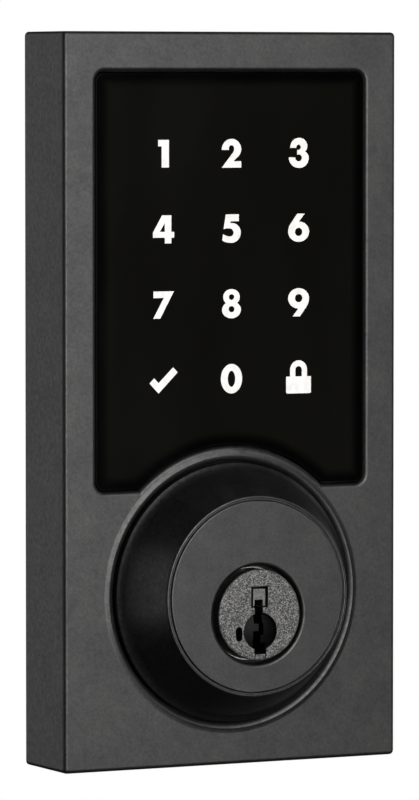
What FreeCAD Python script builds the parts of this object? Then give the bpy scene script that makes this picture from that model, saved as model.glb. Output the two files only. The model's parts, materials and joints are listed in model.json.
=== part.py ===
import FreeCAD, Part
import math
import os

# Keypad smart lock: the outdoor half of a touch-keypad deadbolt.
# Frame: millimetres, +Z up, the keypad faces -Y, the door's face is the plane Y = 0.
# The origin is on the key plug's axis, which is also the axis of the door's bore.

V = FreeCAD.Vector
BACKWARDS = V(0, 1, 0)

# ---- driving dimensions -------------------------------------------------------------

# Housing
HOUSING_HALF_WIDTH = 33.0
HOUSING_BOTTOM = -27.55
HOUSING_TOP = 102.45
FRONT = -16.0
REAR_RIM = -0.3
FRONT_WALL = 3.0
SIDE_WALL = 2.5
INSIDE_FRONT = FRONT + FRONT_WALL
CORNER_ROUND = 0.8
FRONT_EDGE_ROUND = 0.7
RIM_LIP = 0.9
GASKET_INSET = 3.6

# Window in the housing, which the touch lens fills
WINDOW_HALF_WIDTH = 26.6
WINDOW_BOTTOM = 21.75
WINDOW_TOP = 95.45
WINDOW_CORNER = 1.7
WINDOW_ARC = 26.0
WINDOW_EDGE_ROUND = 0.8

# Collar over the lock cylinder, on its own axis above the key plug's
COLLAR_Z = 3.2
COLLAR_HOLE = 23.3
SEAT_FOOT = 25.15
SEAT_CREST = 24.3
SEAT_HEIGHT = 0.2
SEAT_ROLL_DEPTH = 0.8
COLLAR_LIP = 23.05
COLLAR_LIP_FRONT = -16.9
COLLAR_LIP_REAR = -14.8
COLLAR_SPIGOT = 22.0
COLLAR_SPIGOT_BORE = 20.0
COLLAR_SPIGOT_REAR = -9.5
DISC_FACE = -26.15
DISC_BACK = -23.65
DISC_EDGE = 17.9
O_RING_Y = -13.75

# Touch lens and the plates behind it
LENS_GAP = 0.12
LENS_FRONT = FRONT + 0.15
LENS_BACK = LENS_FRONT + 1.8
ADHESIVE_BACK = LENS_BACK + 0.2
FRAME_GAP = 0.3
FRAME_BACK = -11.6
FRAME_HALF_WIDTH = 29.5
FRAME_BOTTOM = 20.3
FRAME_TOP = 97.3
FRAME_ARC = 24.6
LIGHT_HALF_WIDTH = 21.4
LIGHT_BOTTOM = 34.2
LIGHT_TOP = 88.0
BOARD_BACK = -10.0
BOARD_HALF_WIDTH = 26.2
BOARD_BOTTOM = 32.0
BOARD_TOP = 96.5

# Keypad symbols
KEY_COLUMN_PITCH = 13.43
KEY_ROW_PITCH = 13.3
KEY_TOP_ROW = 81.0

# Lock cylinder
CYLINDER_FRONT = -22.65
CYLINDER_STEP = -4.0
CYLINDER_REAR = 1.5
CYLINDER_RADIUS = 12.0
CYLINDER_REAR_RADIUS = 10.0
PLUG_RADIUS = 7.6
PLUG_CLEARANCE = 0.06
EAR_CIRCLE = 15.2
EAR_ANGLES = (30, 150, 270)
DRILL_PIN_X = 9.9
DRILL_PIN_RADIUS = 1.0
DRILL_PIN_LENGTH = 8.0
EAR_FRONT = -9.3
EAR_RADIUS = 3.0

# Key plug
PLUG_FACE = -26.7
PLUG_FLANGE_RADIUS = 8.05
PLUG_FLANGE_BACK = -22.8
PLUG_REAR = 4.0
PLUG_HOLE = 8.75
PLUG_HOLE_ROUND = 0.6
PIN_X = -0.15
PIN_RADIUS = 1.42
PIN_BOTTOM = -0.8
PIN_TOP = 2.3
PIN_TRAVEL = 2.9
FIRST_PIN = -20.0
PIN_PITCH = 3.8
PIN_PLACES = [FIRST_PIN + PIN_PITCH * i for i in range(5)]
SPRING_TOP = 6.8
TOOTH_PITCH = 0.9
TOOTH_REST = 0.6
POCKET_LEFT = -5.3
POCKET_RIGHT = -2.9
POCKET_BOTTOM = -5.0
POCKET_TOP = 4.9
POCKET_FRONT = -22.2
POCKET_REAR = -1.2
CARRIER_FRONT = -21.9
CARRIER_REAR = -3.2
CARRIER_SPRING_BACK = 0.9
DRIVE_FRONT = 1.6
DRIVE_RADIUS = 5.0
DRIVE_CENTRE = 2.4
CAP_SCREW_CIRCLE = 5.4
CAP_SCREW_ANGLES = (135, 315)
KEYWAY_TOP = 2.7
KEYWAY_FOOT = -6.95
KEYWAY_FOOT_LEFT = -1.0
KEYWAY_FOOT_RIGHT = 1.35
SQUARE_HALF = 1.67
SQUARE_LOW = 1.3
SQUARE_HIGH = 5.05
SQUARE_GAP = 0.4
INSERT_X = 0.15
INSERT_Z = -2.9
INSERT_RADIUS = 3.3
INSERT_DEPTH = 3.3
INSERT_DOME = 8.0
INSERT_SINK = 0.1
SIDEBAR_FRONT = -20.9
SIDEBAR_REAR = 0.6
SIDEBAR_BOTTOM = 0.3
SIDEBAR_TOP = 2.7
CLIP_FRONT = 1.7
CLIP_BACK = 2.3
CLIP_INNER = 6.75
CLIP_OUTER = 8.8

# Parts that fasten the lock to the door
BRACKET_FRONT = -6.0
BRACKET_BACK = -4.0
BRACKET_SCREWS = ((-27, 16), (27, 16), (-27, -20), (27, -20))
COLLAR_SCREWS = ((-9.5, 14.8), (9.5, 14.8))
LOWER_COVER_SCREWS = ((-22, -14), (22, -14))
UPPER_COVER_SCREWS = ((-27.9, 46), (27.9, 46), (-27.9, 84), (27.9, 84))
FRAME_SCREWS = ((-28.3, 26), (28.3, 26), (-28.3, 92), (28.3, 92))
BOARD_SCREWS = ((-23.9, 36), (23.9, 36), (-23.9, 92), (23.9, 92))
POST_X = 16.65
POST_RADIUS = 3.6
POST_REAR = 6.5
POST_THREAD = 2.1
COVER_FRONT = -2.5
COVER_BACK = -1.0
COVER_RIB = 1.0
COVER_RIB_BACK = -0.45
COVER_RIB_COLUMNS = (-22.5, -7.5, 7.5, 22.5)
COVER_RIB_ROWS = (34.0, 49.0, 64.0, 79.0, 94.0)
GROMMET_Z = 15.3
GROMMET_BORE = 3.1
SPIGOT_RADIUS = 26.7
SPIGOT_BORE = 24.2
SPIGOT_FLANGE_BORE = 20.0
SPIGOT_FRONT = 0.0
SPIGOT_REAR = 6.4
SPIGOT_FLAT = -23.7
ADAPTER_SCREW_CIRCLE = 21.9
ADAPTER_SCREW_ANGLES = (50, 130, 230, 310)

# Tailpiece
TAIL_HUB_RADIUS = 4.85
TAIL_HUB_FRONT = 1.75
TAIL_HUB_BACK = 3.85
TAIL_END = 54.0
TAIL_HALF_WIDTH = 3.0
TAIL_HALF_THICKNESS = 0.8


# ---- small tools --------------------------------------------------------------------

def box(x0, x1, y0, y1, z0, z1):
    """A block between two corners."""
    return Part.makeBox(x1 - x0, y1 - y0, z1 - z0, V(x0, y0, z0))


def rod(radius, y0, y1, x=0.0, z=0.0):
    """A round bar along Y."""
    return Part.makeCylinder(radius, y1 - y0, V(x, y0, z), BACKWARDS)


def pipe(outer, inner, y0, y1, x=0.0, z=0.0):
    """A round tube along Y."""
    return rod(outer, y0, y1, x, z).cut(rod(inner, y0 - 1, y1 + 1, x, z))


def cone(front_radius, back_radius, y0, y1, x=0.0, z=0.0):
    """A round bar along Y that tapers."""
    return Part.makeCone(front_radius, back_radius, y1 - y0, V(x, y0, z), BACKWARDS)


def fuse(shapes):
    """One solid from shapes that touch or overlap."""
    first, *rest = shapes
    return first.multiFuse(rest).removeSplitter()


def cut(shape, tools):
    """A shape with every tool taken out of it."""
    for tool in tools:
        shape = shape.cut(tool)
    return shape


def around(radius, angles):
    """Points on a circle about the plug's axis, with angles in degrees from +X."""
    return [(radius * math.cos(math.radians(a)), radius * math.sin(math.radians(a))) for a in angles]


def outline(y, start, *steps):
    """A closed wire in the XZ plane at y. A step is a point, or the middle and the end of an arc."""
    edges = []
    here = start
    for step in steps + (start,):
        curved = isinstance(step[0], tuple)
        end = step[1] if curved else step
        a = V(here[0], y, here[1])
        b = V(end[0], y, end[1])
        if curved:
            edges.append(Part.Arc(a, V(step[0][0], y, step[0][1]), b).toShape())
        elif a.distanceToPoint(b) > 1e-6:
            edges.append(Part.LineSegment(a, b).toShape())
        here = end
    return Part.Wire(edges)


def prism(wire, depth):
    """A solid that runs from a flat wire along +Y."""
    return Part.Face(wire).extrude(V(0, depth, 0))


def oval(y, x, z, half_x, half_z, depth):
    """A solid with an elliptical section."""
    along, reach = (V(1, 0, 0), half_x) if half_x >= half_z else (V(0, 0, 1), half_z)
    narrow = min(half_x, half_z)
    centre = V(x, y, z)
    across = V(0, 1, 0).cross(along)
    ellipse = Part.Ellipse(centre + along * reach, centre + across * narrow, centre)
    return prism(Part.Wire(ellipse.toShape()), depth)


def sector(radius, y0, y1, middle, half_angle):
    """A slice of a round bar, less than half of it, centred on an angle in degrees from +X."""
    low, centre, high = around(radius, (middle - half_angle, middle, middle + half_angle))
    return prism(outline(y0, (0, 0), low, (centre, high)), y1 - y0)


def turned(points, z=0.0):
    """A solid of revolution about the Y axis at height z, from a closed radius-and-Y profile."""
    edges = []
    here = points[0]
    for step in points[1:] + [points[0]]:
        curved = isinstance(step[0], tuple)
        end = step[1] if curved else step
        a = V(here[0], here[1], z)
        b = V(end[0], end[1], z)
        if curved:
            edges.append(Part.Arc(a, V(step[0][0], step[0][1], z), b).toShape())
        else:
            edges.append(Part.LineSegment(a, b).toShape())
        here = end
    return Part.Face(Part.Wire(edges)).revolve(V(0, 0, z), BACKWARDS, 360)


def coil(radius, wire, length, turns, base, axis):
    """A compression spring."""
    helix = Part.makeHelix((length - 2 * wire) / turns, length - 2 * wire, radius)
    section = Part.Wire(Part.makeCircle(wire, V(radius, 0, 0), V(0, 1, 0)))
    spring = Part.Wire(helix).makePipeShell([section], True, True)
    spring.translate(V(0, 0, wire))
    spring.Placement = FreeCAD.Placement(base, FreeCAD.Rotation(V(0, 0, 1), axis)).multiply(spring.Placement)
    return spring


def screw(x, z, tip, seat, shank, head, head_height, socket=0.45):
    """A pan-head screw that is driven from behind: tip and seat are Y."""
    body = fuse([rod(shank, tip, seat, x, z), rod(head, seat, seat + head_height, x, z)])
    rim = [e for e in body.Edges if abs(e.BoundBox.YMin - seat - head_height) < 1e-6
           and abs(e.BoundBox.YMax - seat - head_height) < 1e-6]
    body = body.makeFillet(0.35 * head_height, rim)
    deep = seat + head_height * (1 - socket)
    arm = 0.55 * head
    thin = 0.16 * head
    cross = box(x - arm, x + arm, deep, seat + head_height + 1, z - thin, z + thin).fuse(
        box(x - thin, x + thin, deep, seat + head_height + 1, z - arm, z + arm))
    return body.cut(cross)


def flush_screw(x, z, tip, front, back, shank, head):
    """A countersunk screw whose head fills a plate from front to back."""
    body = fuse([rod(shank, tip, front, x, z), cone(shank, head, front, back, x, z)])
    arm = 0.5 * head
    thin = 0.15 * head
    deep = back - 0.5 * (back - front)
    cross = box(x - arm, x + arm, deep, back + 1, z - thin, z + thin).fuse(
        box(x - thin, x + thin, deep, back + 1, z - arm, z + arm))
    return body.cut(cross)


def group(shapes):
    """Separate solids that share a node."""
    return Part.makeCompound(shapes)


# ---- housing and window -------------------------------------------------------------

def window_outline(y, inset, arc_radius=None):
    """The window's outline, drawn in by inset: a rectangle whose foot is cut by the collar's arc."""
    side = WINDOW_HALF_WIDTH - inset
    top = WINDOW_TOP - inset
    foot = WINDOW_BOTTOM + inset
    arc = arc_radius or WINDOW_ARC + inset
    corner = max(WINDOW_CORNER - inset, 0.4)
    bend = corner * (1 - math.sqrt(0.5))
    meet = math.sqrt(arc ** 2 - (foot - COLLAR_Z) ** 2)
    return outline(
        y, (-meet, foot),
        (-side + corner, foot),
        ((-side + bend, foot + bend), (-side, foot + corner)),
        (-side, top - corner),
        ((-side + bend, top - bend), (-side + corner, top)),
        (side - corner, top),
        ((side - bend, top - bend), (side, top - corner)),
        (side, foot + corner),
        ((side - bend, foot + bend), (side - corner, foot)),
        (meet, foot),
        ((0, COLLAR_Z + arc), (-meet, foot)),
    )


def flat_at(edge, y):
    """True where an edge lies in the plane Y = y."""
    return abs(edge.BoundBox.YMin - y) < 1e-6 and abs(edge.BoundBox.YMax - y) < 1e-6


def is_circle(edge, radius):
    """True where an edge is a circle of that radius."""
    return isinstance(edge.Curve, Part.Circle) and abs(edge.Curve.Radius - radius) < 1e-6


def collar_seat():
    """Low raised rim round the collar's hole: it sweeps up from the flat face and rolls into the hole."""
    crest = FRONT - SEAT_HEIGHT
    inner = crest + SEAT_ROLL_DEPTH
    width = SEAT_CREST - COLLAR_HOLE
    sweep = ((SEAT_FOOT + SEAT_CREST) / 2, FRONT - 0.35 * SEAT_HEIGHT)
    roll = (COLLAR_HOLE + 0.39 * width, crest + 0.325 * SEAT_ROLL_DEPTH)
    return turned([
        (COLLAR_HOLE, INSIDE_FRONT - 1), (COLLAR_HOLE, inner), (roll, (SEAT_CREST, crest)),
        (sweep, (SEAT_FOOT, FRONT)), (SEAT_FOOT, INSIDE_FRONT - 1),
    ], COLLAR_Z)


def front_housing():
    """Die-cast shell with the window, the collar's seat and hole, a gasket step and inner bosses."""
    wide = HOUSING_HALF_WIDTH
    shell = box(-wide, wide, FRONT, REAR_RIM, HOUSING_BOTTOM, HOUSING_TOP)
    upright = [e for e in shell.Edges if e.BoundBox.YLength > 1]
    shell = shell.makeFillet(CORNER_ROUND, upright)
    shell = shell.makeFillet(FRONT_EDGE_ROUND, [e for e in shell.Edges if flat_at(e, FRONT)])
    inner = wide - SIDE_WALL
    shell = shell.cut(box(-inner, inner, INSIDE_FRONT, 1, HOUSING_BOTTOM + SIDE_WALL, HOUSING_TOP - SIDE_WALL))
    step = wide - RIM_LIP
    shell = shell.cut(box(-step, step, COVER_BACK, 1, HOUSING_BOTTOM + RIM_LIP, HOUSING_TOP - RIM_LIP))
    shell = shell.cut(prism(window_outline(FRONT - 1, 0), FRONT_WALL + 2))
    shell = shell.cut(rod(COLLAR_HOLE, FRONT - 1, INSIDE_FRONT + 1, 0, COLLAR_Z))
    shell = shell.cut(rod(SEAT_CREST, FRONT - 1, FRONT - SEAT_HEIGHT + SEAT_ROLL_DEPTH, 0, COLLAR_Z))
    window = [e for e in shell.Edges if flat_at(e, FRONT) and abs(e.CenterOfMass.x) < wide - 1.5
              and WINDOW_BOTTOM - 1 < e.BoundBox.ZMin and e.BoundBox.ZMax < HOUSING_TOP - 1.5]
    shell = shell.makeFillet(WINDOW_EDGE_ROUND, window)
    bosses = [rod(2.8, INSIDE_FRONT - 0.5, BRACKET_FRONT, x, z) for x, z in BRACKET_SCREWS]
    shell = fuse([shell, collar_seat()] + bosses)
    holes = [rod(1.25, INSIDE_FRONT + 1, BRACKET_FRONT + 1, x, z) for x, z in BRACKET_SCREWS]
    holes += [rod(1.0, FRONT + 1, INSIDE_FRONT + 1, x, z) for x, z in FRAME_SCREWS]
    return cut(shell, holes)


# ---- touch keypad -------------------------------------------------------------------

SYMBOL_FRONT = LENS_FRONT - 0.02
SYMBOL_DEPTH = 1.0


def symbol_prism(start, *steps):
    return prism(outline(SYMBOL_FRONT, start, *steps), SYMBOL_DEPTH)


def symbol_oval(x, z, half_x, half_z):
    return oval(SYMBOL_FRONT, x, z, half_x, half_z, SYMBOL_DEPTH)


def digit_one():
    return symbol_prism((-1.06, 2.43), (1.06, 2.43), (1.06, -2.43), (-0.37, -2.43), (-0.37, 1.3), (-1.06, 1.3))


def digit_two():
    return symbol_prism(
        (-1.93, 0.6),
        ((-0.02, 2.56), (1.93, 0.75)),
        ((1.72, -0.05), (1.15, -0.72)),
        (0.36, -1.41), (1.93, -1.41), (1.93, -2.54), (-1.93, -2.54), (0.15, -0.05),
        ((0.44, 0.38), (0.52, 0.85)),
        ((0.02, 1.42), (-0.46, 0.6)),
    )


def digit_three():
    return symbol_prism(
        (-1.72, 0.89),
        ((-1.2, 2.15), (0.03, 2.66)),
        ((1.26, 2.22), (1.73, 1.4)),
        ((1.64, 0.75), (1.28, 0.25)),
        ((1.84, -0.3), (2.0, -1.1)),
        ((1.42, -2.2), (-0.05, -2.66)),
        ((-1.42, -2.12), (-2.01, -0.8)),
        (-0.72, -0.8),
        ((-0.48, -1.32), (0.04, -1.5)),
        ((0.64, -0.9), (-0.3, -0.36)),
        (-0.3, 0.56),
        ((0.4, 1.05), (-0.03, 1.5)),
        ((-0.38, 1.28), (-0.51, 0.89)),
    )


def digit_four():
    stencil = symbol_prism((0.24, -0.43), (0.24, 1.11), (-0.75, -0.43))
    return symbol_prism(
        (-0.29, 2.47), (1.53, 2.47), (1.53, -0.44), (2.09, -0.44), (2.09, -1.46), (1.53, -1.46),
        (1.53, -2.47), (0.24, -2.47), (0.24, -1.46), (-2.09, -1.46), (-2.09, -0.54),
    ).cut(stencil)


def digit_five():
    return symbol_prism(
        (-1.15, 2.52), (1.45, 2.52), (1.45, 1.28), (-0.2, 1.28), (-0.28, 0.93),
        ((1.28, 0.52), (1.85, -0.82)),
        ((1.2, -2.1), (-0.25, -2.53)),
        ((-1.1, -2.42), (-1.85, -2.1)),
        (-1.68, -0.95),
        ((-1.05, -1.28), (-0.33, -1.38)),
        ((0.2, -1.2), (0.41, -0.73)),
        ((0.15, -0.18), (-0.5, 0.02)),
        ((-1.05, 0.02), (-1.57, -0.1)),
    )


def digit_six():
    bowl = symbol_oval(0, -0.71, 2.11, 1.81)
    stem = symbol_prism(
        (-0.28, 2.5), (1.22, 2.5), (-0.08, 0.94), (0.2, -0.3), (-1.0, -0.7), (-2.1, -0.6),
        ((-1.95, 0.14), (-1.6, 0.75)),
    )
    return fuse([bowl, stem]).cut(symbol_oval(-0.01, -0.75, 0.74, 0.73))


def digit_seven():
    return symbol_prism((-2.0, 2.4), (2.04, 2.4), (-0.66, -2.4), (-2.04, -2.4), (0.05, 1.25), (-2.0, 1.25))


def digit_eight():
    rings = fuse([symbol_oval(0, 1.17, 1.65, 1.42), symbol_oval(0, -1.09, 1.88, 1.5)])
    return rings.cut(symbol_oval(0, 1.17, 0.54, 0.49)).cut(symbol_oval(0, -0.97, 0.58, 0.55))


def digit_nine():
    nine = digit_six()
    nine.rotate(V(0, 0, 0), BACKWARDS, 180)
    return nine


def digit_zero():
    return symbol_oval(0, 0, 2.12, 2.63).cut(symbol_oval(0, -0.02, 0.74, 1.42))


def tick_symbol():
    return symbol_prism(
        (1.88, 2.29), (2.77, 1.38), (-0.99, -2.28), (-2.78, -0.48), (-1.88, 0.43), (-0.99, -0.45),
    )


def padlock_symbol():
    body = symbol_prism(
        (-2.5, 0.1), (2.5, 0.1), (2.5, -2.6), ((2.41, -2.84), (2.15, -2.93)),
        (-2.15, -2.93), ((-2.41, -2.84), (-2.5, -2.6)),
    )
    shackle = symbol_prism(
        (-1.71, 0.05), (-1.71, 1.26), ((0, 2.97), (1.71, 1.26)), (1.71, 0.05),
        (0.65, 0.05), (0.65, 1.28), ((0, 1.93), (-0.65, 1.28)), (-0.65, 0.05),
    )
    return fuse([body, shackle])


KEYPAD = (
    (digit_one, digit_two, digit_three),
    (digit_four, digit_five, digit_six),
    (digit_seven, digit_eight, digit_nine),
    (tick_symbol, digit_zero, padlock_symbol),
)


def key_place(row, column):
    """Where a key's centre is, as X and Z."""
    return KEY_COLUMN_PITCH * (column - 1), KEY_TOP_ROW - KEY_ROW_PITCH * row


def keypad_symbols():
    """Twelve translucent legends, moulded into the face of the lens."""
    placed = []
    for row, line in enumerate(KEYPAD):
        for column, make in enumerate(line):
            x, z = key_place(row, column)
            symbol = make()
            symbol.translate(V(x, 0, z))
            placed.append(symbol)
    return placed


def touch_lens(symbols):
    """Black glossy lens that nearly fills the window."""
    lens = prism(window_outline(LENS_FRONT, LENS_GAP), LENS_BACK - LENS_FRONT)
    lens = lens.makeChamfer(0.35, [e for e in lens.Edges if flat_at(e, LENS_FRONT)])
    return cut(lens, symbols)


def lens_adhesive():
    """Ring of bonding tape round the lens."""
    ring = prism(window_outline(LENS_BACK, FRAME_GAP), ADHESIVE_BACK - LENS_BACK)
    return ring.cut(prism(window_outline(LENS_BACK - 1, FRAME_GAP + 2.6), 3))


def keypad_frame():
    """Plastic carrier: a raised panel in the window, a flange behind the wall, and standoffs."""
    panel = prism(window_outline(ADHESIVE_BACK, FRAME_GAP), INSIDE_FRONT - ADHESIVE_BACK)
    flange = box(-FRAME_HALF_WIDTH, FRAME_HALF_WIDTH, INSIDE_FRONT, FRAME_BACK, FRAME_BOTTOM, FRAME_TOP)
    flange = flange.cut(rod(FRAME_ARC, INSIDE_FRONT - 1, FRAME_BACK + 1, 0, COLLAR_Z))
    standoffs = [rod(1.6, FRAME_BACK - 0.5, COVER_FRONT, x, z) for x, z in UPPER_COVER_SCREWS]
    frame = fuse([panel, flange] + standoffs)
    tools = [box(-LIGHT_HALF_WIDTH, LIGHT_HALF_WIDTH, FRONT, BOARD_BACK, LIGHT_BOTTOM, LIGHT_TOP)]
    tools += [rod(0.8, COVER_FRONT - 6, COVER_FRONT + 1, x, z) for x, z in UPPER_COVER_SCREWS]
    tools += [rod(1.0, FRONT, FRAME_BACK + 1, x, z) for x, z in FRAME_SCREWS]
    tools += [rod(0.9, INSIDE_FRONT - 0.3, FRAME_BACK + 1, x, z) for x, z in BOARD_SCREWS]
    return cut(frame, tools)


def light_guide():
    """Clear plate that spreads the backlight behind the symbols."""
    edge = 0.2
    wide = LIGHT_HALF_WIDTH - edge
    plate = box(-wide, wide, ADHESIVE_BACK + 0.05, -12.25, LIGHT_BOTTOM + edge, LIGHT_TOP - edge)
    return plate.makeFillet(0.8, [e for e in plate.Edges if e.BoundBox.YLength > 1])


def touch_board():
    """Circuit board with four screw holes and a notch for the harness."""
    wide = BOARD_HALF_WIDTH
    board = box(-wide, wide, FRAME_BACK, BOARD_BACK, BOARD_BOTTOM, BOARD_TOP)
    board = board.makeFillet(1.2, [e for e in board.Edges if e.BoundBox.YLength > 1])
    tools = [rod(1.1, FRAME_BACK - 1, BOARD_BACK + 1, x, z) for x, z in BOARD_SCREWS]
    tools.append(box(-4, 4, FRAME_BACK - 1, BOARD_BACK + 1, BOARD_BOTTOM - 1, BOARD_BOTTOM + 1.5))
    return cut(board, tools)


def backlight_leds():
    """One small lamp behind each symbol."""
    lamps = []
    for row in range(4):
        for column in range(3):
            x, z = key_place(row, column)
            lamps.append(box(x - 0.8, x + 0.8, FRAME_BACK - 0.5, FRAME_BACK, z - 0.4, z + 0.4))
    return group(lamps)


def control_chip():
    """Square processor with a ring of short legs."""
    x, z, half, back = -8.0, 72.0, 5.0, BOARD_BACK + 1.3
    body = box(x - half, x + half, BOARD_BACK + 0.2, back, z - half, z + half)
    body = body.makeChamfer(0.25, [e for e in body.Edges if flat_at(e, back)])
    legs = []
    for i in range(8):
        step = -half + 0.9 + i * (2 * half - 1.8) / 7
        legs.append(box(x - half - 0.9, x + half + 0.9, BOARD_BACK, BOARD_BACK + 0.35,
                        z + step - 0.2, z + step + 0.2))
        legs.append(box(x + step - 0.2, x + step + 0.2, BOARD_BACK, BOARD_BACK + 0.35,
                        z - half - 0.9, z + half + 0.9))
    return fuse([body] + legs)


def board_connector():
    """Shrouded socket that the door harness plugs into."""
    x, z = 0.0, 40.0
    shroud = box(x - 6, x + 6, BOARD_BACK, BOARD_BACK + 5.6, z - 2.9, z + 2.9)
    shroud = shroud.cut(box(x - 5.2, x + 5.2, BOARD_BACK + 1, BOARD_BACK + 6, z - 2.2, z + 2.2))
    shroud = shroud.cut(box(x - 1.5, x + 1.5, BOARD_BACK + 2, BOARD_BACK + 6, z - 3, z - 2))
    contacts = [box(x - 4.35 + 1.45 * i, x - 3.85 + 1.45 * i, BOARD_BACK + 0.8, BOARD_BACK + 4.2,
                    z - 0.25, z + 0.25) for i in range(7)]
    return fuse([shroud] + contacts)


def buzzer():
    """Round sounder with a small hole in its back."""
    can = rod(5.0, BOARD_BACK, BOARD_BACK + 4.0, 14.0, 58.0)
    can = can.makeFillet(0.5, [e for e in can.Edges if flat_at(e, BOARD_BACK + 4.0)])
    return can.cut(rod(0.8, BOARD_BACK + 3.0, BOARD_BACK + 5.0, 14.0, 58.0))


def board_components():
    """Resistors, capacitors, a coil and a crystal on the back of the board."""
    sizes = {"small": (1.6, 0.5, 0.8), "large": (3.2, 1.2, 2.5), "coil": (5.0, 2.4, 5.0)}
    placed = (
        ("small", -17, 80), ("small", -17, 76), ("small", -17, 72), ("small", 2, 80), ("small", 2, 76),
        ("small", -8, 84), ("large", 8, 84), ("large", 14, 84), ("large", -17, 64), ("small", -8, 60),
        ("small", -4, 60), ("small", 0, 60), ("coil", -16, 50), ("large", 10, 46), ("small", 4, 46),
    )
    parts = []
    for kind, x, z in placed:
        length, height, width = sizes[kind]
        top = BOARD_BACK + height
        part = box(x - length / 2, x + length / 2, BOARD_BACK, top, z - width / 2, z + width / 2)
        parts.append(part.makeChamfer(0.12 * height, [e for e in part.Edges if flat_at(e, top)]))
    return group(parts)


def frame_screws():
    return group([screw(x, z, FRONT + 1.2, FRAME_BACK, 0.95, 1.35, 1.0) for x, z in FRAME_SCREWS])


def board_screws():
    return group([screw(x, z, INSIDE_FRONT, BOARD_BACK, 0.85, 1.8, 1.2) for x, z in BOARD_SCREWS])


# ---- collar and lock cylinder -------------------------------------------------------

def cylinder_collar():
    """Flared collar whose flat disc frames the key plug."""
    groove = DISC_FACE + 0.42
    shell = turned([
        (0.0, DISC_BACK), (0.0, DISC_FACE), (DISC_EDGE - 1.15, DISC_FACE),
        ((DISC_EDGE - 0.93, DISC_FACE + 0.07), (DISC_EDGE - 0.85, DISC_FACE + 0.26)),
        (DISC_EDGE - 0.80, groove), (DISC_EDGE - 0.62, groove), (DISC_EDGE - 0.55, DISC_FACE + 0.22),
        ((DISC_EDGE - 0.15, DISC_FACE + 0.26), (DISC_EDGE, DISC_FACE + 0.6)),
        (COLLAR_LIP - 1.32, COLLAR_LIP_FRONT - 0.78),
        ((COLLAR_LIP - 0.75, COLLAR_LIP_FRONT - 0.12), (COLLAR_LIP - 0.15, COLLAR_LIP_FRONT + 0.28)),
        ((COLLAR_LIP - 0.04, COLLAR_LIP_FRONT + 0.38), (COLLAR_LIP, COLLAR_LIP_FRONT + 0.52)),
        (COLLAR_LIP, COLLAR_LIP_REAR), (COLLAR_SPIGOT, COLLAR_LIP_REAR), (COLLAR_SPIGOT, COLLAR_SPIGOT_REAR),
        (COLLAR_SPIGOT_BORE, COLLAR_SPIGOT_REAR), (COLLAR_SPIGOT_BORE, -16.6),
        (18.6, -18.0), (15.9, DISC_BACK),
    ], COLLAR_Z)
    bosses = [rod(2.4, DISC_BACK - 0.5, BRACKET_FRONT, x, z) for x, z in COLLAR_SCREWS]
    collar = fuse([shell] + bosses)
    collar = collar.cut(rod(PLUG_HOLE, DISC_FACE - 1, DISC_BACK + 1))
    rim = [e for e in collar.Edges if flat_at(e, DISC_FACE) and is_circle(e, PLUG_HOLE)]
    collar = collar.makeFillet(PLUG_HOLE_ROUND, rim)
    return cut(collar, [rod(1.2, -17.0, BRACKET_FRONT + 1, x, z) for x, z in COLLAR_SCREWS])


def collar_o_ring():
    """Rubber ring that seals the collar's spigot in the housing's hole."""
    middle = (COLLAR_HOLE + COLLAR_SPIGOT) / 2
    return Part.makeTorus(middle, (COLLAR_HOLE - COLLAR_SPIGOT) / 2, V(0, O_RING_Y, COLLAR_Z), BACKWARDS)


def drill_plate():
    """Hardened washer between the collar's disc and the cylinder."""
    return pipe(CYLINDER_RADIUS, PLUG_FLANGE_RADIUS + 0.25, DISC_BACK, CYLINDER_FRONT)


def cylinder_housing():
    """Fixed barrel that the key plug turns in, with three screw ears."""
    barrel = fuse([
        rod(CYLINDER_RADIUS, CYLINDER_FRONT, CYLINDER_STEP),
        rod(CYLINDER_REAR_RADIUS, CYLINDER_STEP - 1, CYLINDER_REAR),
    ])
    ears = []
    holes = []
    for (x, z), angle in zip(around(EAR_CIRCLE, EAR_ANGLES), EAR_ANGLES):
        web = box(0, EAR_CIRCLE, EAR_FRONT, BRACKET_FRONT, 0.8 - EAR_RADIUS, EAR_RADIUS - 0.8)
        web.rotate(V(0, 0, 0), BACKWARDS, -angle)
        ears += [rod(EAR_RADIUS, EAR_FRONT, BRACKET_FRONT, x, z), web]
        holes.append(rod(1.25, EAR_FRONT - 1, BRACKET_FRONT + 1, x, z))
    barrel = fuse([barrel] + ears)
    bore = rod(PLUG_RADIUS + PLUG_CLEARANCE, CYLINDER_FRONT - 1, CYLINDER_REAR + 1)
    groove = prism(outline(-21.2, (-7.0, 0.4), (-8.5, 1.1), (-8.5, 1.9), (-7.0, 2.6)), 22.0)
    pins = [rod(DRILL_PIN_RADIUS, CYLINDER_FRONT - 1, CYLINDER_FRONT + DRILL_PIN_LENGTH, x, 0)
            for x in (-DRILL_PIN_X, DRILL_PIN_X)]
    return cut(barrel, [bore, groove] + pins + holes)


def drill_pins():
    """Two hardened pins pressed into the cylinder's front."""
    back = CYLINDER_FRONT + DRILL_PIN_LENGTH
    return group([rod(DRILL_PIN_RADIUS, CYLINDER_FRONT, back, x, 0) for x in (-DRILL_PIN_X, DRILL_PIN_X)])


def cylinder_screws():
    """Screws through the bracket into the cylinder's ears."""
    return group([screw(x, z, -9.0, BRACKET_BACK, 1.25, 2.4, 1.2) for x, z in around(EAR_CIRCLE, EAR_ANGLES)])


def collar_screws():
    """Screws through the bracket into the collar's bosses."""
    return group([screw(x, z, -12.0, BRACKET_BACK, 1.2, 2.4, 1.2) for x, z in COLLAR_SCREWS])


# ---- key plug and what it holds -----------------------------------------------------

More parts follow.
